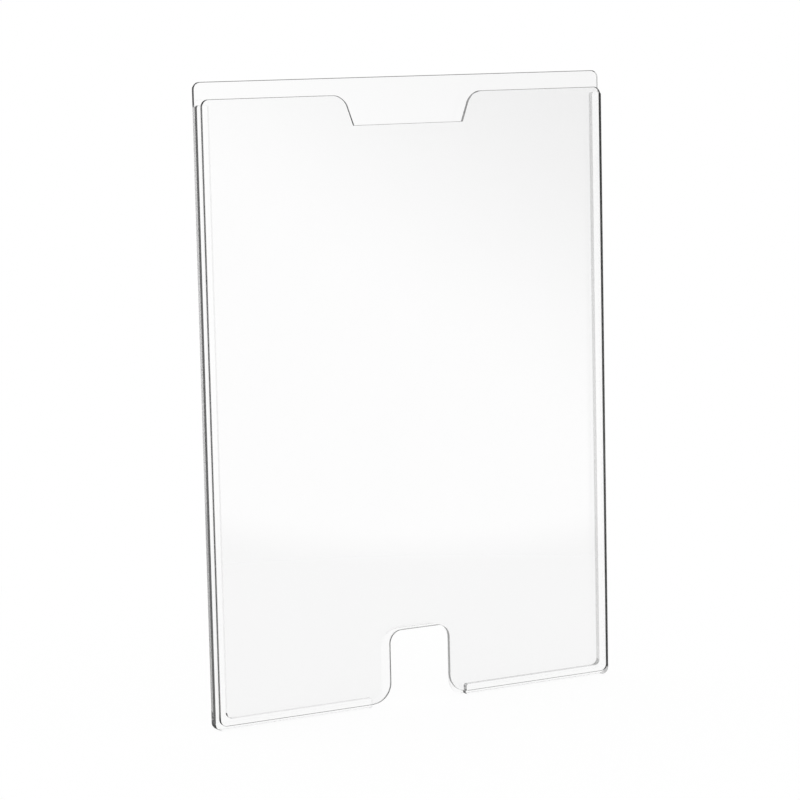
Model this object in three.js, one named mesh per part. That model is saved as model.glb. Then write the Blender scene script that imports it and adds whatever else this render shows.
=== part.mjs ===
// Clear acrylic holder for one upright A4 page: two plates with an L-shaped spacer down each side.
// Millimetres. X is across the holder, +Z is up, and the front faces -Y.
// The origin is the middle of the back plate's rear face, which goes against a wall.
import * as THREE from "three";

// The page and its room in the pocket
const PAGE_WIDTH = 210;
const PAGE_HEIGHT = 297;
const PAGE_SIDE_PLAY = 1;
const PAGE_STANDS_PROUD = 0.1;

// Sheet thicknesses
const FRONT_THICKNESS = 2;
const SPACER_THICKNESS = 3;
const BACK_THICKNESS = 2;

// Outlines
const SPACER_WIDTH = 5.8;
const SPACER_FOOT = 5.5;
const LEDGE = 1.8;
const FOOT_LEDGE = 2.4;
const BACK_RISE = 8.2;
const PLATE_CORNER_RADIUS = 3.5;
const SPACER_INNER_RADIUS = 3;
const SPACER_END_RADIUS = 1.2;
const SPACER_TOP_DROP = 2.7;

// Grip recess in the front plate's top edge
const RECESS_WIDTH = 60;
const RECESS_DEPTH = 14.7;
const RECESS_LIP_RADIUS = 8;
const RECESS_SLANT = THREE.MathUtils.degToRad(20);

// Finger slot at the bottom, through both plates, and wider at each side in the back plate
const SLOT_WIDTH = 33.6;
const SLOT_HEIGHT = 35.6;
const SLOT_TOP_RADIUS = 6.5;
const SLOT_FLARE_RADIUS = 10;
const BACK_SLOT_EXTRA = 2.7;

// Straight pieces that one arc is drawn with, counted in pairs
const ARC_STEP_PAIRS = 6;

// Sizes that follow from the ones above
const pocketWidth = PAGE_WIDTH + 2 * PAGE_SIDE_PLAY;
const backWidth = pocketWidth + 2 * SPACER_WIDTH;
const frontWidth = backWidth - 2 * LEDGE;
const frontHeight = SPACER_FOOT - FOOT_LEDGE + PAGE_HEIGHT - PAGE_STANDS_PROUD;
const backHeight = FOOT_LEDGE + frontHeight + BACK_RISE;
const backBottom = -backHeight / 2;
const backTop = backHeight / 2;
const frontBottom = backBottom + FOOT_LEDGE;
const frontTop = frontBottom + frontHeight;
const slotTop = frontBottom + SLOT_HEIGHT;
const spacerTop = frontTop - SPACER_TOP_DROP;
const spacerEnd = SLOT_WIDTH / 2 + SLOT_FLARE_RADIUS;

const RIGHT = 0;
const UP = Math.PI / 2;
const LEFT = Math.PI;
const DOWN = 1.5 * Math.PI;

// Bottom edge from the left, round the slot's flared mouth and up over its top, to the right.
// A wider slot has tighter flares, so every mouth ends where the spacers end.
function drawBottomEdge(shape, bottom, slotExtra) {
  const flareRadius = SLOT_FLARE_RADIUS - slotExtra;
  const topRadius = SLOT_TOP_RADIUS + slotExtra;
  const flareZ = bottom + flareRadius;
  const cornerX = SLOT_WIDTH / 2 - SLOT_TOP_RADIUS;
  const cornerZ = slotTop - topRadius;
  shape.absarc(-spacerEnd, flareZ, flareRadius, DOWN, 2 * Math.PI, false);
  shape.absarc(-cornerX, cornerZ, topRadius, LEFT, UP, true);
  shape.absarc(cornerX, cornerZ, topRadius, UP, RIGHT, true);
  shape.absarc(spacerEnd, flareZ, flareRadius, LEFT, DOWN, false);
}

// Grip recess, drawn from right to left: rounded lips, slanted sides and sharp corners at the bottom
function drawRecess(shape, top) {
  const bottom = top - RECESS_DEPTH;
  const slantRise = RECESS_DEPTH - RECESS_LIP_RADIUS * (1 - Math.sin(RECESS_SLANT));
  const slantRun = slantRise * Math.tan(RECESS_SLANT);
  const lipX = RECESS_WIDTH / 2 + slantRun + RECESS_LIP_RADIUS * Math.cos(RECESS_SLANT);
  const lipZ = top - RECESS_LIP_RADIUS;
  shape.absarc(lipX, lipZ, RECESS_LIP_RADIUS, UP, LEFT - RECESS_SLANT, false);
  shape.lineTo(RECESS_WIDTH / 2, bottom);
  shape.lineTo(-RECESS_WIDTH / 2, bottom);
  shape.absarc(-lipX, lipZ, RECESS_LIP_RADIUS, RECESS_SLANT, UP, false);
}

// A plate's outline, anticlockwise from its bottom left corner
function plateShape(width, bottom, top, slotExtra, hasRecess) {
  const radius = PLATE_CORNER_RADIUS;
  const cornerX = width / 2 - radius;
  const shape = new THREE.Shape();
  shape.absarc(-cornerX, bottom + radius, radius, LEFT, DOWN, false);
  drawBottomEdge(shape, bottom, slotExtra);
  shape.absarc(cornerX, bottom + radius, radius, DOWN, 2 * Math.PI, false);
  shape.absarc(cornerX, top - radius, radius, RIGHT, UP, false);
  if (hasRecess) {
    drawRecess(shape, top);
  }
  shape.absarc(-cornerX, top - radius, radius, UP, LEFT, false);
  shape.closePath();
  return shape;
}

// The left spacer's outline, anticlockwise from its outer bottom corner
function leftSpacerShape() {
  const outer = -backWidth / 2;
  const inner = outer + SPACER_WIDTH;
  const floor = backBottom + SPACER_FOOT;
  const corner = PLATE_CORNER_RADIUS;
  const fillet = SPACER_INNER_RADIUS;
  const end = SPACER_END_RADIUS;
  const shape = new THREE.Shape();
  shape.absarc(outer + corner, backBottom + corner, corner, LEFT, DOWN, false);
  shape.absarc(-spacerEnd - end, backBottom + end, end, DOWN, 2 * Math.PI, false);
  shape.absarc(-spacerEnd - end, floor - end, end, RIGHT, UP, false);
  shape.absarc(inner + fillet, floor + fillet, fillet, DOWN, LEFT, true);
  shape.absarc(inner - end, spacerTop - end, end, RIGHT, UP, false);
  shape.absarc(outer + end, spacerTop - end, end, UP, LEFT, false);
  shape.closePath();
  return shape;
}

// The same outline on the other side of the middle
function mirrored(shape) {
  const points = shape.getPoints(ARC_STEP_PAIRS).map((point) => new THREE.Vector2(-point.x, point.y));
  return new THREE.Shape(points.reverse());
}

const clearAcrylic = new THREE.MeshStandardMaterial({
  color: 0xf4f8f8,
  roughness: 0.05,
  metalness: 0,
  transparent: true,
  opacity: 0.3,
});

// An upright sheet cut to an outline, with its rear face at the given depth in front of the wall
function sheet(name, shape, thickness, rear) {
  const settings = { depth: thickness, bevelEnabled: false, curveSegments: ARC_STEP_PAIRS };
  const mesh = new THREE.Mesh(new THREE.ExtrudeGeometry(shape, settings), clearAcrylic.clone());
  mesh.name = name;
  mesh.rotation.x = Math.PI / 2;
  mesh.position.y = -rear;
  return mesh;
}

const spacerRear = BACK_THICKNESS;
const frontRear = BACK_THICKNESS + SPACER_THICKNESS;
const holder = new THREE.Group();
holder.add(
  sheet("back_plate", plateShape(backWidth, backBottom, backTop, BACK_SLOT_EXTRA, false), BACK_THICKNESS, 0),
  sheet("left_spacer", leftSpacerShape(), SPACER_THICKNESS, spacerRear),
  sheet("right_spacer", mirrored(leftSpacerShape()), SPACER_THICKNESS, spacerRear),
  sheet("front_plate", plateShape(frontWidth, frontBottom, frontTop, 0, true), FRONT_THICKNESS, frontRear),
);

export default holder;
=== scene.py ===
# %% [markdown]
# # A clear acrylic document holder
# The real holder is four flat pieces of cast acrylic: a back plate, a front plate and two L-shaped
# spacers, cemented face to face. A page drops in from the top, and the finger slot lets it be
# pushed up again.
# Clear plastic has almost no colour of its own, so what shows is its edges, and most of the work is
# in them. This first cell loads the imported solids, which fix where each piece goes, and keeps their
# box, whose lowest point sets the floor's height.

# %% Load the frame
import math

import bmesh
import bpy
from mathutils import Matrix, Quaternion, Vector


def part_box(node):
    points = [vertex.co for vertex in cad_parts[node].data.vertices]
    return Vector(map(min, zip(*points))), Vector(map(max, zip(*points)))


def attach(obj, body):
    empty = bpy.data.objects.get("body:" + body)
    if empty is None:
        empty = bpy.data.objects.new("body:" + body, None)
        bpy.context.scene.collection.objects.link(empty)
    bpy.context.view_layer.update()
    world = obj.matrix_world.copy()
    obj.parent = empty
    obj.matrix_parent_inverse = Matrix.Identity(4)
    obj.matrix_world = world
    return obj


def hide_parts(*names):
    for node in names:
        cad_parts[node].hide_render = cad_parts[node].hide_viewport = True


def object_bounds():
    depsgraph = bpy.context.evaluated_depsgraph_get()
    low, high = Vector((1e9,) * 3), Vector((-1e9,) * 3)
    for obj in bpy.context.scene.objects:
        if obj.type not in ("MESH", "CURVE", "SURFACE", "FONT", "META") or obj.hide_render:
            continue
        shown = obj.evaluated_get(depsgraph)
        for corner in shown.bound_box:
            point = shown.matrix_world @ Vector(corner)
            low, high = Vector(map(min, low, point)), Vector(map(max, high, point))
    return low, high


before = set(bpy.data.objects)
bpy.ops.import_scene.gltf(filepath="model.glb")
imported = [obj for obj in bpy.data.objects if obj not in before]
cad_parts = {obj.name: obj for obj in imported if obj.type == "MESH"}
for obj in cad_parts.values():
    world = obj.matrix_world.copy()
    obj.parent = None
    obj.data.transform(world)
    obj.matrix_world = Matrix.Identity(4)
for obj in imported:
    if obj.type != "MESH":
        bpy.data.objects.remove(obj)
cad_low, cad_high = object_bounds()
print("CAD box in metres:", [round(side, 4) for side in cad_high - cad_low])

# %% [markdown]
# ## Camera
# The photo looks down a little on the front from the left, with a long lens that keeps the sides
# nearly parallel. A camera can be placed by eye, but here its place, aim, roll and lens come from
# fitting the plates' corners.

# %% Camera
CAMERA_PLACE = Vector((-0.66138, -1.21332, 0.17485))
CAMERA_AIM = Vector((-0.00842, -0.007, -0.00247))
CAMERA_ROLL = math.radians(-1.27)
LENS = 126.88

camera = bpy.data.objects.new("camera", bpy.data.cameras.new("camera"))
bpy.context.scene.collection.objects.link(camera)
bpy.context.scene.camera = camera
camera.data.lens = LENS
camera.location = CAMERA_PLACE
camera.rotation_mode = "QUATERNION"
look = (CAMERA_AIM - CAMERA_PLACE).to_track_quat("-Z", "Y")
camera.rotation_quaternion = look @ Quaternion((0, 0, 1), CAMERA_ROLL)
print("camera distance in metres:", round((CAMERA_AIM - CAMERA_PLACE).length, 3))

# %% [markdown]
# ## Sizes
# Widths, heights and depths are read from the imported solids' boxes, so the looks follow the CAD
# model. The boxes don't tell the shape of the recess, the slot and the corners, so those sizes are
# given here.

# %% Sizes
MM = 0.001
PLATE_CORNER = 3.5 * MM
SPACER_WIDTH = 5.8 * MM
SPACER_FOOT = 5.5 * MM
SPACER_FILLET = 3 * MM
SPACER_END = 1.2 * MM
RECESS_HALF_WIDTH = 30 * MM
RECESS_DEPTH = 14.7 * MM
RECESS_LIP = 8 * MM
RECESS_SLANT = math.radians(20)
SLOT_HALF_WIDTH = 16.8 * MM
SLOT_HEIGHT = 35.6 * MM
SLOT_TOP = 6.5 * MM
SLOT_FLARE = 10 * MM
BACK_SLOT_EXTRA = 2.7 * MM

front_low, front_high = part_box("front_plate")
back_low, back_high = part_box("back_plate")
spacer_low, spacer_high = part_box("left_spacer")
slot_top = front_low.z + SLOT_HEIGHT
print("front plate in mm:", [round(side / MM, 2) for side in front_high - front_low])
print("back plate in mm:", [round(side / MM, 2) for side in back_high - back_low])
print("spacer in mm:", [round(side / MM, 2) for side in spacer_high - spacer_low])

# %% [markdown]
# ## Rounded outlines
# Every piece is a flat sheet with rounded corners. The arcs could be worked out point by point, but
# a vertex bevel on a flat face rounds a corner by itself: its offset is how far the arc reaches
# along each side.
# A corner is given as x, z and radius. At a slanted side the corner turns by less than a right
# angle, so the reach is the radius times the tangent of half the turn.

# %% A flat face with rounded corners
ARC_STEPS = 14


def flat_face(corners, depth):
    sheet = bmesh.new()
    drawn = [sheet.verts.new((x, depth, z)) for x, z, radius in corners]
    sheet.faces.new(drawn)
    sides = [after.co - here.co for here, after in zip(drawn, drawn[1:] + drawn[:1])]
    turns = [before.angle(after) for before, after in zip(sides[-1:] + sides[:-1], sides)]
    for corner, turn, (x, z, radius) in zip(drawn, turns, corners):
        if radius:
            reach = radius * math.tan(turn / 2)
            bmesh.ops.bevel(sheet, geom=[corner], offset=reach, offset_type="OFFSET",
                            affect="VERTICES", segments=ARC_STEPS, profile=0.5, material=-1)
    return sheet


def outline_of(sheet):
    (face,) = sheet.faces
    return [vert.co.copy() for vert in face.verts]


print("each rounded corner is drawn with", ARC_STEPS, "straight steps")

# %% [markdown]
# ## Front plate outline
# All outlines run anticlockwise as seen from the front. The front plate has the grip recess in its
# top edge, with rounded lips and sharp lower corners, and the finger slot, whose mouth is flared
# where it meets the bottom edge.
# The back plate's slot is a little wider at each side, so the slot's corners come from a function
# that both can use.


# %% Front plate outline
def slot_corners(bottom, extra):
    side, flare, top = SLOT_HALF_WIDTH + extra, SLOT_FLARE - extra, SLOT_TOP + extra
    return [
        (-side, bottom, flare),
        (-side, slot_top, top),
        (side, slot_top, top),
        (side, bottom, flare),
    ]


lip_x = RECESS_HALF_WIDTH + RECESS_DEPTH * math.tan(RECESS_SLANT)
recess_floor = front_high.z - RECESS_DEPTH
front_sheet = flat_face(
    [
        (-front_high.x, front_low.z, PLATE_CORNER),
        *slot_corners(front_low.z, 0),
        (front_high.x, front_low.z, PLATE_CORNER),
        (front_high.x, front_high.z, PLATE_CORNER),
        (lip_x, front_high.z, RECESS_LIP),
        (RECESS_HALF_WIDTH, recess_floor, 0),
        (-RECESS_HALF_WIDTH, recess_floor, 0),
        (-lip_x, front_high.z, RECESS_LIP),
        (-front_high.x, front_high.z, PLATE_CORNER),
    ],
    front_high.y,
)
print("front plate outline:", len(front_sheet.verts), "points")

# %% [markdown]
# A spacer's square upper end meets the front plate's rounded corner part of the way round the arc.
# Both pieces need a point exactly there, because the cemented area ends there, so the arc is split
# at the spacer's height.

# %% Split the front plate's upper corners where the spacers end
for edge in list(front_sheet.edges):
    lower, upper = sorted(edge.verts, key=lambda vert: vert.co.z)
    if abs(lower.co.x) > lip_x + RECESS_LIP and lower.co.z < spacer_high.z < upper.co.z:
        share = (spacer_high.z - lower.co.z) / (upper.co.z - lower.co.z)
        bmesh.utils.edge_split(edge, lower, share)
front_outline = outline_of(front_sheet)
left_points = [point for point in front_outline if point.x < 0]
ledge_top = min(left_points, key=lambda point: abs(point.z - spacer_high.z))
print("ledge ends at", [round(part / MM, 3) for part in ledge_top], "mm")

# %% [markdown]
# ## Spacer and back plate outlines
# Only the left spacer is drawn, because the right one is its mirror image. Some corners have no
# radius: they are points on a straight side where a neighbour's outline starts or ends, and the
# next step splits the faces there.

# %% Spacer and back plate outlines
spacer_inner = spacer_low.x + SPACER_WIDTH
spacer_floor = spacer_low.z + SPACER_FOOT
spacer_sheet = flat_face(
    [
        (spacer_low.x, spacer_low.z, PLATE_CORNER),
        (spacer_high.x, spacer_low.z, SPACER_END),
        (spacer_high.x, front_low.z, 0),
        (spacer_high.x, spacer_floor, SPACER_END),
        (spacer_inner, spacer_floor, SPACER_FILLET),
        (spacer_inner, spacer_high.z, SPACER_END),
        (ledge_top.x, spacer_high.z, 0),
        (spacer_low.x, spacer_high.z, SPACER_END),
    ],
    spacer_low.y,
)
spacer_outline = outline_of(spacer_sheet)

back_sheet = flat_face(
    [
        (-back_high.x, back_low.z, PLATE_CORNER),
        *slot_corners(back_low.z, BACK_SLOT_EXTRA),
        (back_high.x, back_low.z, PLATE_CORNER),
        (back_high.x, spacer_high.z, 0),
        (back_high.x, back_high.z, PLATE_CORNER),
        (-back_high.x, back_high.z, PLATE_CORNER),
        (-back_high.x, spacer_high.z, 0),
    ],
    back_low.y,
)
print("spacer outline:", len(spacer_sheet.verts), "points")
print("back plate outline:", len(back_sheet.verts), "points")

# %% [markdown]
# ## Cemented areas
# Acrylic cement melts two faces into one, so light crosses the joint without bending or mirroring,
# and the strip along the sides looks clearer than the pocket. To show this, each face is split
# along its neighbour's outline, and the part that is cemented gets a finish of its own. The
# finishes are numbered here, and their looks are made further down.
# A split needs a start, an end and the points between, and these come from the neighbour's rounded
# outline.

# %% Split a face along a neighbour's outline
(POLISHED, SAWN, EDGE_PAINTED_SHADE, RECESS, ROUTED, UPPER, END, CORNER, HALF, COVERED, COVERED_PAINTED_SHADE, HIDDEN,
 CEMENTED) = range(13)


def nearest(points, x, z):
    def gap(place):
        return (points[place].x - x) ** 2 + (points[place].z - z) ** 2

    return min(range(len(points)), key=gap)


def run_between(points, start, end):
    first, last = nearest(points, *start), nearest(points, *end)
    turned = points[first:] + points[:first]
    return turned[:(last - first) % len(points) + 1]


def split_along(sheet, run):
    verts = list(sheet.verts)
    places = [vert.co for vert in verts]
    first, last = (verts[nearest(places, point.x, point.z)] for point in (run[0], run[-1]))
    face = next(face for face in sheet.faces if first in face.verts and last in face.verts)
    between = [(point.x, first.co.y, point.z) for point in run[1:-1]]
    other, loop = bmesh.utils.face_split(face, first, last, coords=between)
    return min(face, other, key=lambda side: side.calc_area())


print("finishes:", CEMENTED + 1)

# %% [markdown]
# The plates' strips follow the spacer's outline, and the right strip mirrors the left one. On the
# back plate the strip's two ends are drawn square, so that it meets the plate's outline at right
# angles and leaves no slivers.


# %% Cemented strips of the plates
def mirrored(run):
    return [Vector((-point.x, point.y, point.z)) for point in run]


ledge_start, ledge_end = (ledge_top.x, ledge_top.z), (spacer_high.x, front_low.z)
front_joint = run_between(spacer_outline, ledge_end, ledge_start)
foot_end = (spacer_high.x, spacer_low.z + SPACER_END)
side_end = (spacer_low.x + SPACER_END, spacer_high.z)
back_joint = [
    Vector((spacer_high.x, 0, spacer_low.z)),
    *run_between(spacer_outline, foot_end, side_end),
    Vector((spacer_low.x, 0, spacer_high.z)),
]
for sheet, joint in ((front_sheet, front_joint), (back_sheet, back_joint)):
    for run in (joint, mirrored(joint)):
        strip = split_along(sheet, run)
        strip.material_index = CEMENTED
        print("cemented strip:", round(strip.calc_area() / MM ** 2), "square mm")

# %% [markdown]
# On the spacer it is the other way round: nearly all of its front is cemented, and only the narrow
# ledge outside the front plate stays open and polished.

# %% Open ledge of the spacer
ledge = split_along(spacer_sheet, run_between(front_outline, ledge_start, ledge_end))
for face in spacer_sheet.faces:
    face.material_index = POLISHED if face == ledge else CEMENTED
print("open ledge:", round(ledge.calc_area() / MM ** 2), "square mm")

# %% [markdown]
# ## Sheets of the right thickness
# A flat face becomes a sheet by extruding it. The far side is then one plain face again, so its
# copied split lines are dissolved. All faces round the edge start out as sawn.

# %% Extrude a face into a sheet
FLAT = 0.999


def thicken(sheet, far_depth, far_finish):
    near_depth = next(iter(sheet.verts)).co.y
    made = bmesh.ops.extrude_face_region(sheet, geom=list(sheet.faces))["geom"]
    moved = [part for part in made if isinstance(part, bmesh.types.BMVert)]
    bmesh.ops.translate(sheet, verts=moved, vec=(0, far_depth - near_depth, 0))
    far_faces = [part for part in made if isinstance(part, bmesh.types.BMFace)]
    far = far_faces[0]
    if len(far_faces) > 1:
        (far,) = bmesh.ops.dissolve_faces(sheet, faces=far_faces)["region"]
    far.material_index = far_finish
    bmesh.ops.recalc_face_normals(sheet, faces=sheet.faces)
    for face in sheet.faces:
        if abs(face.normal.y) < FLAT:
            face.material_index = SAWN
    thickness = abs(far_depth - near_depth)
    print("thickness in mm:", round(thickness / MM, 2), "with", len(sheet.faces), "faces")


thicken(front_sheet, front_low.y, POLISHED)
thicken(back_sheet, back_high.y, POLISHED)
thicken(spacer_sheet, spacer_high.y, CEMENTED)

# %% [markdown]
# ## Scraped rims
# The rims along the top and the bottom are scraped to a tiny flat, so nobody is cut by them, and it
# catches the light as a thin line. A bevel would do it, but it can't fade out where the outline
# turns upwards. So two flat cuts draw a line round the edge, one near each face, and then every rim
# point moves inwards, by less the more its edge faces sideways. Rims that are cemented to a
# neighbour stay sharp.

# %% Scrape the rims
PLATE_SCRAPE = 0.2 * MM
BACK_SCRAPE = 0.3 * MM


def scrape_rims(sheet, amount):
    depths = sorted({round(vert.co.y, 6) for vert in sheet.verts})
    for depth in (depths[0] + amount, depths[-1] - amount):
        bmesh.ops.bisect_plane(sheet, geom=[*sheet.verts, *sheet.edges, *sheet.faces],
                               plane_co=(0, depth, 0), plane_no=(0, 1, 0))
    sheet.normal_update()
    shifts = []
    for vert in sheet.verts:
        if {face.material_index for face in vert.link_faces} == {POLISHED, SAWN}:
            walls = [face.normal for face in vert.link_faces if face.material_index == SAWN]
            outwards = sum(walls, Vector()).normalized()
            shifts.append((vert, -amount * outwards.z ** 2 * outwards))
    for vert, shift in shifts:
        bmesh.ops.translate(sheet, verts=[vert], vec=shift)
    print("scraped", len(shifts), "rim points by up to", round(amount / MM, 2), "mm")


scrape_rims(front_sheet, PLATE_SCRAPE)
scrape_rims(back_sheet, BACK_SCRAPE)
scrape_rims(spacer_sheet, PLATE_SCRAPE)

# %% [markdown]
# ## Kinds of edge
# Straight outer edges are sawn. Those of the front plate and along the back plate's top get a
# near-black tint, which is painted shade for the dark lines they show. The sides of the recess and of
# the finger slot are cut with a router, which leaves them rougher. Edges behind the front plate are
# flame polished and faint, with a grey tint of painted shade that is near-black on the right spacer,
# and those along the foot and round the back plate's slot nearly vanish. The back plate's bare upper
# sides, the spacers' ends, the foot's and the pocket's rounded corners and the slot's top are
# polished less.

# %% Where the edges are
NEAR = 1 * MM


def anywhere(place):
    return True


def on_recess_side(place):
    beside = abs(place.x) < lip_x + RECESS_LIP / 2
    return beside and recess_floor + NEAR / 2 < place.z < front_high.z - NEAR


def in_slot(place):
    return abs(place.x) < SLOT_HALF_WIDTH + SLOT_FLARE and place.z < slot_top + NEAR


def on_slot_side(place):
    return in_slot(place) and abs(place.x) > SLOT_HALF_WIDTH - SLOT_TOP


def at_foot(place):
    return place.z < front_low.z and abs(place.x) < back_high.x - PLATE_CORNER


def in_lower_corner(place):
    return abs(place.x) > back_high.x - PLATE_CORNER and place.z < back_low.z + PLATE_CORNER


def in_fillet(place):
    beside = front_low.x < place.x < spacer_inner + SPACER_FILLET
    return beside and front_low.z < place.z < spacer_floor + SPACER_FILLET


print("edges are told apart to within", round(NEAR / MM, 2), "mm")

# %% [markdown]
# The faces of each edge are found by where their middles are. Only faces that are still sawn are
# changed, so the narrow places come first and the wide ones last.


# %% Give each edge its finish
def set_edges(sheet, finish, is_there):
    sawn_faces = [face for face in sheet.faces if face.material_index == SAWN]
    faces = [face for face in sawn_faces if is_there(face.calc_center_median())]
    for face in faces:
        face.material_index = finish
    print("finish", finish, "on", len(faces), "faces")


set_edges(front_sheet, RECESS, on_recess_side)
set_edges(front_sheet, ROUTED, on_slot_side)
set_edges(front_sheet, HALF, in_slot)
# The front plate's remaining edges and the back plate's top get a near-black tint, painted shade for
# the dark lines along them.
set_edges(front_sheet, EDGE_PAINTED_SHADE, anywhere)
set_edges(back_sheet, EDGE_PAINTED_SHADE, lambda place: place.z > back_high.z - NEAR)
set_edges(back_sheet, UPPER, lambda place: place.z > spacer_high.z)
set_edges(back_sheet, CORNER, in_lower_corner)
set_edges(back_sheet, HIDDEN, lambda place: in_slot(place) or at_foot(place))
set_edges(spacer_sheet, END, lambda place: place.x > spacer_high.x - SPACER_END)
set_edges(spacer_sheet, CORNER, in_lower_corner)
set_edges(spacer_sheet, HALF, in_fillet)
set_edges(spacer_sheet, HIDDEN, at_foot)
set_edges(spacer_sheet, COVERED, lambda place: place.x > front_low.x)

# %% [markdown]
# ## Finishes
# All clear acrylic bends light by the same amount, so the finishes share their IOR. What differs is
# the surface. Three effects are used by several finishes, and each is a node group. The first is
# the haze that handling leaves: a slow noise that moves the roughness between a clean and a handled
# value.

# %% Handling haze
NUMBER, COLOUR, DIRECTION = "NodeSocketFloat", "NodeSocketColor", "NodeSocketVector"


def new_group(name, inputs, output, kind):
    group = bpy.data.node_groups.new(name, "ShaderNodeTree")
    for socket, socket_kind in inputs:
        group.interface.new_socket(socket, in_out="INPUT", socket_type=socket_kind)
    group.interface.new_socket(output, in_out="OUTPUT", socket_type=kind)
    given = group.nodes.new("NodeGroupInput").outputs
    return group, given, group.nodes.new("NodeGroupOutput").inputs


def node(tree, kind, **inputs):
    made = tree.nodes.new(kind)
    for name, value in inputs.items():
        made.inputs[name.replace("_", " ")].default_value = value
    return made


haze_inputs = [("Size", NUMBER), ("Clean", NUMBER), ("Handled", NUMBER)]
haze, given, result = new_group("handling_haze", haze_inputs, "Roughness", NUMBER)
cloud = node(haze, "ShaderNodeTexNoise", Detail=5.0, Roughness=0.6, Distortion=0.4)
spread = node(haze, "ShaderNodeMapRange", From_Min=0.45, From_Max=0.75)
haze.links.new(haze.nodes.new("ShaderNodeTexCoord").outputs["Object"], cloud.inputs["Vector"])
haze.links.new(given["Size"], cloud.inputs["Scale"])
haze.links.new(cloud.outputs["Fac"], spread.inputs["Value"])
haze.links.new(given["Clean"], spread.inputs["To Min"])
haze.links.new(given["Handled"], spread.inputs["To Max"])
haze.links.new(spread.outputs["Result"], result["Roughness"])
print("node group:", haze.name, "with", len(haze.nodes), "nodes")

# %% [markdown]
# The second group is the tint. Cast sheet isn't perfectly even, so its colour drifts a little
# between two values over a few centimetres. On cut edges the same drift shows as lighter and darker
# stretches.
# A Mix node has sockets named A and B for numbers, vectors and colours alike, so the colour ones
# are picked by their place.

# %% Tint of the cast sheet
TINT_SCALE = 35
COLOUR_A, COLOUR_B, COLOUR_RESULT = 6, 7, 2

tint_inputs = [("Light", COLOUR), ("Dark", COLOUR)]
tint, given, result = new_group("cast_tint", tint_inputs, "Colour", COLOUR)
drift = node(tint, "ShaderNodeTexNoise", Scale=TINT_SCALE, Detail=3.0)
mixed = tint.nodes.new("ShaderNodeMix")
mixed.data_type = "RGBA"
tint.links.new(tint.nodes.new("ShaderNodeTexCoord").outputs["Object"], drift.inputs["Vector"])
tint.links.new(drift.outputs["Fac"], mixed.inputs["Factor"])
tint.links.new(given["Light"], mixed.inputs[COLOUR_A])
tint.links.new(given["Dark"], mixed.inputs[COLOUR_B])
tint.links.new(mixed.outputs[COLOUR_RESULT], result["Colour"])
print("node group:", tint.name, "with", len(tint.nodes), "nodes")

# %% [markdown]
# The third group is the saw marks. They run across the edge, from front to back, so a noise that is
# stretched along Y gives fine lines. A bump turns them into a normal, which costs no faces.

# %% Saw marks
MARK_STRETCH = (900, 15, 900)
MARK_DEPTH = 0.02 * MM

marks, given, result = new_group("saw_marks", [("Strength", NUMBER)], "Normal", DIRECTION)
stretch = node(marks, "ShaderNodeMapping", Scale=MARK_STRETCH)
lines = node(marks, "ShaderNodeTexNoise", Scale=1.0, Detail=3.0, Roughness=0.6)
bump = node(marks, "ShaderNodeBump", Distance=MARK_DEPTH)
marks.links.new(marks.nodes.new("ShaderNodeTexCoord").outputs["Object"], stretch.inputs["Vector"])
marks.links.new(stretch.outputs["Vector"], lines.inputs["Vector"])
marks.links.new(lines.outputs["Fac"], bump.inputs["Height"])
marks.links.new(given["Strength"], bump.inputs["Strength"])
marks.links.new(bump.outputs["Normal"], result["Normal"])
print("node group:", marks.name, "with", len(marks.nodes), "nodes")

# %% [markdown]
# ## Faces and edges
# The faces keep the polish that the sheet was cast with. A cut edge lets less light in, and the
# part that isn't clear is matt, which keeps a dark edge from going black. The sides of the recess
# are rougher, and those of the finger slot are matt as well.
# Each finish is a Principled shader with a light and a dark tint, a share of clearness, and a clean
# and a handled roughness.

# %% A clear finish
ACRYLIC_IOR = 1.49
FACE_HAZE, EDGE_HAZE = 18, 400


def grey(level):
    return (level, level, level, 1)


def clear_finish(name, tints, clearness, roughness, haze_size=EDGE_HAZE):
    material = bpy.data.materials.new(name)
    material.use_nodes = True
    tree = material.node_tree
    shader = tree.nodes["Principled BSDF"]
    shader.inputs["IOR"].default_value = ACRYLIC_IOR
    shader.inputs["Transmission Weight"].default_value = clearness
    colour = tree.nodes.new("ShaderNodeGroup")
    colour.node_tree = tint
    for socket, level in zip(("Light", "Dark"), tints):
        colour.inputs[socket].default_value = grey(level)
    tree.links.new(colour.outputs["Colour"], shader.inputs["Base Color"])
    touched = tree.nodes.new("ShaderNodeGroup")
    touched.node_tree = haze
    for socket, value in zip(("Size", "Clean", "Handled"), (haze_size, *roughness)):
        touched.inputs[socket].default_value = value
    tree.links.new(touched.outputs["Roughness"], shader.inputs["Roughness"])
    return material


print("IOR of acrylic:", ACRYLIC_IOR)

# %% [markdown]
# Saw and router both leave marks, so the cut edges get the third group as well. The dark edges have
# a near-black tint, which is painted shade: it stands in for the dark lines that the plastic shows
# where it mirrors the dim room.

# %% Faces and cut edges
CAST, FINE_CUT, ROUGH_CUT = (0.0, 0.03), (0.01, 0.06), (0.02, 0.08)
MARK_STRENGTH = 0.3


def add_marks(material):
    tree = material.node_tree
    ridges = tree.nodes.new("ShaderNodeGroup")
    ridges.node_tree = marks
    ridges.inputs["Strength"].default_value = MARK_STRENGTH
    tree.links.new(ridges.outputs["Normal"], tree.nodes["Principled BSDF"].inputs["Normal"])


polished = clear_finish("polished_acrylic_face", (0.997, 0.992), 1, CAST, FACE_HAZE)
sawn = clear_finish("sawn_edge", (0.95, 0.85), 0.87, FINE_CUT)
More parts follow.
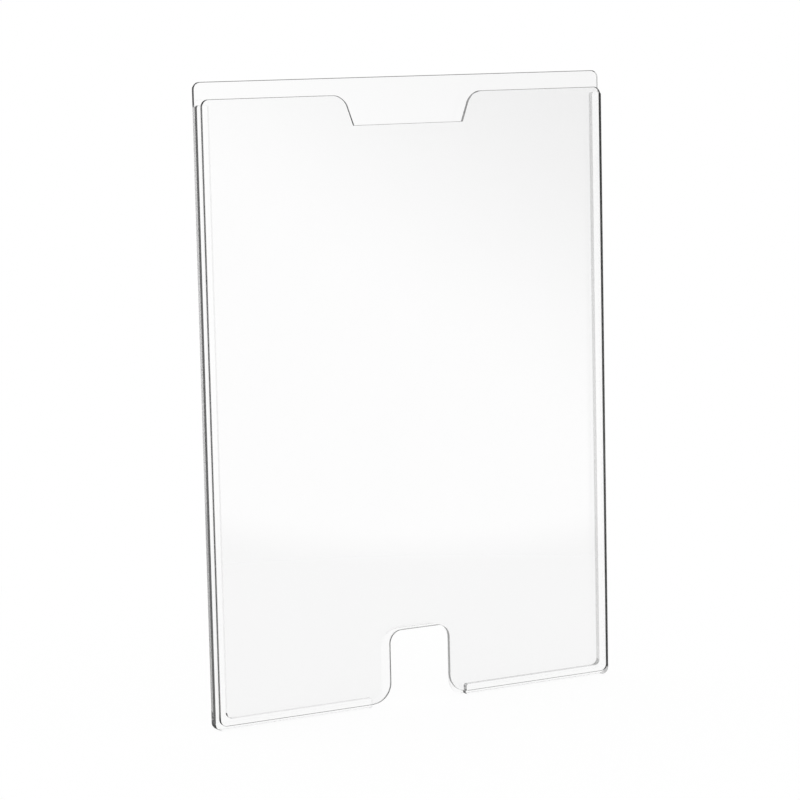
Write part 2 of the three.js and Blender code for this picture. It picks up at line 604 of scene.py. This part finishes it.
# Near-black tint: painted shade for the dark lines along these edges.
painted_shade_edge = clear_finish("sawn_edge_painted_shade", (0.07, 0.05), 0.85, FINE_CUT)
recess = clear_finish("recess_side", (0.8, 0.7), 0.92, ROUGH_CUT)
routed = clear_finish("routed_slot_side", (0.92, 0.85), 0.5, ROUGH_CUT)
for cut_edge in (sawn, painted_shade_edge, recess, routed):
    add_marks(cut_edge)
print("clear finishes:", polished.name, sawn.name, painted_shade_edge.name, recess.name, routed.name)

# %% [markdown]
# ## Helpers for shader values
# The next finishes and the studio work with plain numbers in node trees, so these helpers join two
# values, blend between them, or map one range to another. A value can be a number or another node's
# output.


# %% Helpers for shader values
def ramp(tree, value, reach, levels):
    (start, end), (low, high) = reach, levels
    made = node(tree, "ShaderNodeMapRange", From_Min=start, From_Max=end, To_Min=low, To_Max=high)
    made.interpolation_type = "SMOOTHSTEP"
    tree.links.new(value, made.inputs["Value"])
    return made.outputs["Result"]


def join(tree, operation, first, second):
    made = tree.nodes.new("ShaderNodeMath")
    made.operation = operation
    for place, value in enumerate((first, second)):
        if isinstance(value, (int, float)):
            made.inputs[place].default_value = value
        else:
            tree.links.new(value, made.inputs[place])
    return made.outputs["Value"]


def blend(tree, share, first, second):
    rest = join(tree, "SUBTRACT", 1, share)
    return join(tree, "ADD", join(tree, "MULTIPLY", share, second),
                join(tree, "MULTIPLY", rest, first))


print("helpers:", ramp.__name__, join.__name__, blend.__name__)

# %% [markdown]
# ## Softened edges
# Seen from inside the plastic at a low angle, a polished edge is a perfect mirror and would draw a
# hard dark line. On the real holder these edges are soft and faint, so some of the light goes
# straight on, as if there were no edge.
# From outside that is a fixed share. From inside it is a share of the mirrored light, which the
# Fresnel node gives, or a least share where that is more. Backfacing tells inside from outside.


# %% Soften an edge
def soften(material, outside, inside, inside_least=0):
    tree = material.node_tree
    mirrored_light = node(tree, "ShaderNodeFresnel", IOR=ACRYLIC_IOR).outputs["Fac"]
    is_inside = tree.nodes.new("ShaderNodeNewGeometry").outputs["Backfacing"]
    inside_share = join(tree, "MULTIPLY", mirrored_light, inside)
    inside_share = join(tree, "MAXIMUM", inside_share, inside_least)
    straight_on = blend(tree, is_inside, outside, inside_share)
    through = tree.nodes.new("ShaderNodeBsdfTransparent")
    either = tree.nodes.new("ShaderNodeMixShader")
    tree.links.new(straight_on, either.inputs["Fac"])
    tree.links.new(tree.nodes["Principled BSDF"].outputs["BSDF"], either.inputs[1])
    tree.links.new(through.outputs["BSDF"], either.inputs[2])
    tree.links.new(either.outputs["Shader"], tree.nodes["Material Output"].inputs["Surface"])


soften(sawn, outside=0.035, inside=0)
soften(recess, outside=0.33, inside=0)
soften(routed, outside=0, inside=0.12)
print("softened finishes:", sawn.name, recess.name, routed.name)

# %% [markdown]
# The polished edges differ in how well the polish was done. Most of the light passes the best ones.
# The covered edges, the spacers' inner ones, keep a faint grey line, and their grey tint deepens it
# with painted shade. On the right spacer the same edges get a near-black tint of painted shade from
# outside, but are clear from inside, so that the spacer still looks clear from its side.

# %% Polished edges
FLAMED = (0.0, 0.05)

upper = clear_finish("upper_back_side", (0.95, 0.85), 0.9, FINE_CUT)
soften(upper, outside=0, inside=0.55)
end = clear_finish("spacer_end", (0.95, 0.85), 0.9, FINE_CUT)
soften(end, outside=0, inside=0.93)
corner = clear_finish("foot_corner", (0.6, 0.45), 0.9, ROUGH_CUT)
soften(corner, outside=0, inside=0.5)
half = clear_finish("half_polished_edge", (0.6, 0.45), 0.9, ROUGH_CUT)
soften(half, outside=0.25, inside=0)
# Grey tint: painted shade that deepens the faint line of the covered edges.
covered = clear_finish("covered_polished_edge", (0.76, 0.68), 1, FLAMED)
soften(covered, outside=0.75, inside=0.9)
# Near-black tint from outside: painted shade for the grey line of the right spacer's inner edges.
covered_painted_shade = clear_finish("covered_edge_painted_shade", (0.06, 0.04), 1, FLAMED)
soften(covered_painted_shade, outside=0.7, inside=0, inside_least=1)
hidden = clear_finish("hidden_polished_edge", (0.99, 0.97), 1, FLAMED)
soften(hidden, outside=0.9, inside=1)
for edge_finish in (upper, end, corner, half, covered, covered_painted_shade, hidden):
    print("softened finish:", edge_finish.name)

# %% [markdown]
# ## Cemented faces
# Where two faces have melted into one there is no surface left, so this finish lets all light
# straight through.

# %% Cemented faces
cemented = bpy.data.materials.new("cemented_joint")
cemented.use_nodes = True
tree = cemented.node_tree
tree.nodes.remove(tree.nodes["Principled BSDF"])
through = tree.nodes.new("ShaderNodeBsdfTransparent")
tree.links.new(through.outputs["BSDF"], tree.nodes["Material Output"].inputs["Surface"])
print("finish:", cemented.name)

# %% [markdown]
# ## The four pieces
# Each sheet becomes an object that replaces its CAD node. The finishes are added in the order of
# their numbers. The right spacer is the left one scaled by minus one across the holder, which turns
# it inside out, so its normals are worked out again. Its inner edges show as an even grey line, so
# they get a near-black tint from outside, which is painted shade for that line.

# %% Make the pieces
SMOOTH_BELOW = math.radians(15)
FINISHES = (polished, sawn, painted_shade_edge, recess, routed, upper, end, corner, half, covered, covered_painted_shade, hidden,
            cemented)


def add_piece(sheet, name, cad_node):
    bmesh.ops.recalc_face_normals(sheet, faces=sheet.faces)
    mesh = bpy.data.meshes.new(name)
    sheet.to_mesh(mesh)
    for finish in FINISHES:
        mesh.materials.append(finish)
    mesh.shade_smooth()
    mesh.set_sharp_from_angle(angle=SMOOTH_BELOW)
    piece = bpy.data.objects.new(name, mesh)
    bpy.context.scene.collection.objects.link(piece)
    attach(piece, "root")
    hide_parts(cad_node)
    print(name, len(mesh.polygons), "faces")


add_piece(front_sheet, "clear_front_plate", "front_plate")
add_piece(back_sheet, "clear_back_plate", "back_plate")
add_piece(spacer_sheet, "clear_left_spacer", "left_spacer")
bmesh.ops.scale(spacer_sheet, vec=(-1, 1, 1), verts=spacer_sheet.verts)
# The right spacer's inner edges take the near-black tint, painted shade for their grey line.
for face in spacer_sheet.faces:
    if face.material_index == COVERED:
        face.material_index = COVERED_PAINTED_SHADE
add_piece(spacer_sheet, "clear_right_spacer", "right_spacer")
for sheet in (front_sheet, back_sheet, spacer_sheet):
    sheet.free()

# %% [markdown]
# ## Studio
# Clear plastic shows only what stands round it. Photographers put it before a white ground, which
# is what is seen through it, and keep the rest of the room dim, which is what its faces and edges
# mirror. That draws every edge as a dark line. Here the Light Path node tells the two apart: a ray
# that was never mirrored has a Glossy Depth of 0 and sees plain white, and a mirrored one sees the
# room.

# %% World and its directions
world = bpy.data.worlds.new("studio")
bpy.context.scene.world = world
world.use_nodes = True
tree = world.node_tree
way = tree.nodes.new("ShaderNodeTexCoord").outputs["Generated"]
split = tree.nodes.new("ShaderNodeSeparateXYZ")
tree.links.new(way, split.inputs["Vector"])
across, along, up = (split.outputs[axis] for axis in "XYZ")


def facing(tree, way, direction):
    made = tree.nodes.new("ShaderNodeVectorMath")
    made.operation = "DOT_PRODUCT"
    made.inputs[1].default_value = direction
    tree.links.new(way, made.inputs[0])
    return made.outputs["Value"]


def mirrored_share(tree):
    glossy_depth = tree.nodes.new("ShaderNodeLightPath").outputs["Glossy Depth"]
    return join(tree, "MINIMUM", glossy_depth, 1)


print("world:", world.name)

# %% [markdown]
# In front of the holder stands a big round screen. The panel mirrors its lower edge as a soft step
# near the finger slot, and towards the upper right it fades out slowly. Behind the holder the left
# is nearly black and the right is grey, and that draws the edges. Light that is sent straight down
# inside a plate meets a dark floor.
# Each ramp turns a direction into a brightness: its edge says where the change starts and ends, and
# its tones say how bright it is there.

# %% The room that is mirrored
DIMMEST = 0.02
SCREEN_TOWARDS = (0.48, -0.87, 0.115)
SCREEN_EDGE, SCREEN_TONES = (0.954, 0.959), (0.633, 0.974)
FADE_TOWARDS = (0.642, 0, 0.767)
FADE_EDGE, FADE_TONES = (0.225, 0.344), (0.0, 0.848)
BACK_EDGE, BACK_TONES = (-0.3, 0.3), (DIMMEST, 0.45)
FRONT_TO_BACK = (-0.2, 0.2)
FLOOR_EDGE, FLOOR_TONES = (-0.95, -0.5), (0.15, 1.0)

screen = ramp(tree, facing(tree, way, SCREEN_TOWARDS), SCREEN_EDGE, SCREEN_TONES)
fade = ramp(tree, facing(tree, way, FADE_TOWARDS), FADE_EDGE, FADE_TONES)
front = join(tree, "MAXIMUM", join(tree, "SUBTRACT", screen, fade), DIMMEST)
back = ramp(tree, across, BACK_EDGE, BACK_TONES)
room = blend(tree, ramp(tree, along, FRONT_TO_BACK, (0.0, 1.0)), front, back)
room = join(tree, "MULTIPLY", room, ramp(tree, up, FLOOR_EDGE, FLOOR_TONES))
ground = tree.nodes["Background"]
ground.inputs["Color"].default_value = grey(1)
tree.links.new(blend(tree, mirrored_share(tree), 1.0, room), ground.inputs["Strength"])
print("world nodes:", len(tree.nodes))

# %% [markdown]
# ## Floor
# The floor is white paper. Most of its brightness is a plain white glow, so that it meets the white
# of the studio with no horizon, and near the holder a share of it is matt, which takes the soft
# shadow. First comes the sheet itself, which is part of the stage and not of the holder.

# %% Floor
FLOOR_REACH = 3.0
FLOOR_SIDES = 64

floor_sheet = bmesh.new()
bmesh.ops.create_circle(floor_sheet, cap_ends=True, radius=FLOOR_REACH, segments=FLOOR_SIDES)
bmesh.ops.translate(floor_sheet, verts=floor_sheet.verts, vec=(0, 0, cad_low.z))
floor = bpy.data.objects.new("floor", bpy.data.meshes.new("floor"))
floor_sheet.to_mesh(floor.data)
floor_sheet.free()
bpy.context.scene.collection.objects.link(floor)
print("floor at", round(cad_low.z / MM, 1), "mm")

# %% [markdown]
# The matt share fades out with the distance from the holder, which is the length of the place
# without its height. Mirrored rays pass through the paper, because they see the room instead.

# %% Floor paper
SHADOW_SHARE = 0.04
SHADOW_REACH = (0.12, 0.4)

paper = bpy.data.materials.new("white_paper_floor")
paper.use_nodes = True
tree = paper.node_tree
tree.nodes.remove(tree.nodes["Principled BSDF"])
flat_place = node(tree, "ShaderNodeMapping", Scale=(1, 1, 0))
place = tree.nodes.new("ShaderNodeTexCoord").outputs["Object"]
tree.links.new(place, flat_place.inputs["Vector"])
away = tree.nodes.new("ShaderNodeVectorMath")
away.operation = "LENGTH"
tree.links.new(flat_place.outputs["Vector"], away.inputs[0])
matt_share = ramp(tree, away.outputs["Value"], SHADOW_REACH, (SHADOW_SHARE, 0.0))

white = node(tree, "ShaderNodeEmission", Color=grey(1), Strength=1.0)
matt = node(tree, "ShaderNodeBsdfDiffuse", Color=grey(1))
seen = tree.nodes.new("ShaderNodeMixShader")
tree.links.new(matt_share, seen.inputs["Fac"])
tree.links.new(white.outputs["Emission"], seen.inputs[1])
tree.links.new(matt.outputs["BSDF"], seen.inputs[2])
through = tree.nodes.new("ShaderNodeBsdfTransparent")
passed = tree.nodes.new("ShaderNodeMixShader")
tree.links.new(mirrored_share(tree), passed.inputs["Fac"])
tree.links.new(seen.outputs["Shader"], passed.inputs[1])
tree.links.new(through.outputs["BSDF"], passed.inputs[2])
tree.links.new(passed.outputs["Shader"], tree.nodes["Material Output"].inputs["Surface"])
floor.data.materials.append(paper)
print("paper nodes:", len(tree.nodes))

# %% [markdown]
# Standard view settings keep the white ground white.

# %% Finish
bpy.context.scene.view_settings.view_transform = "Standard"
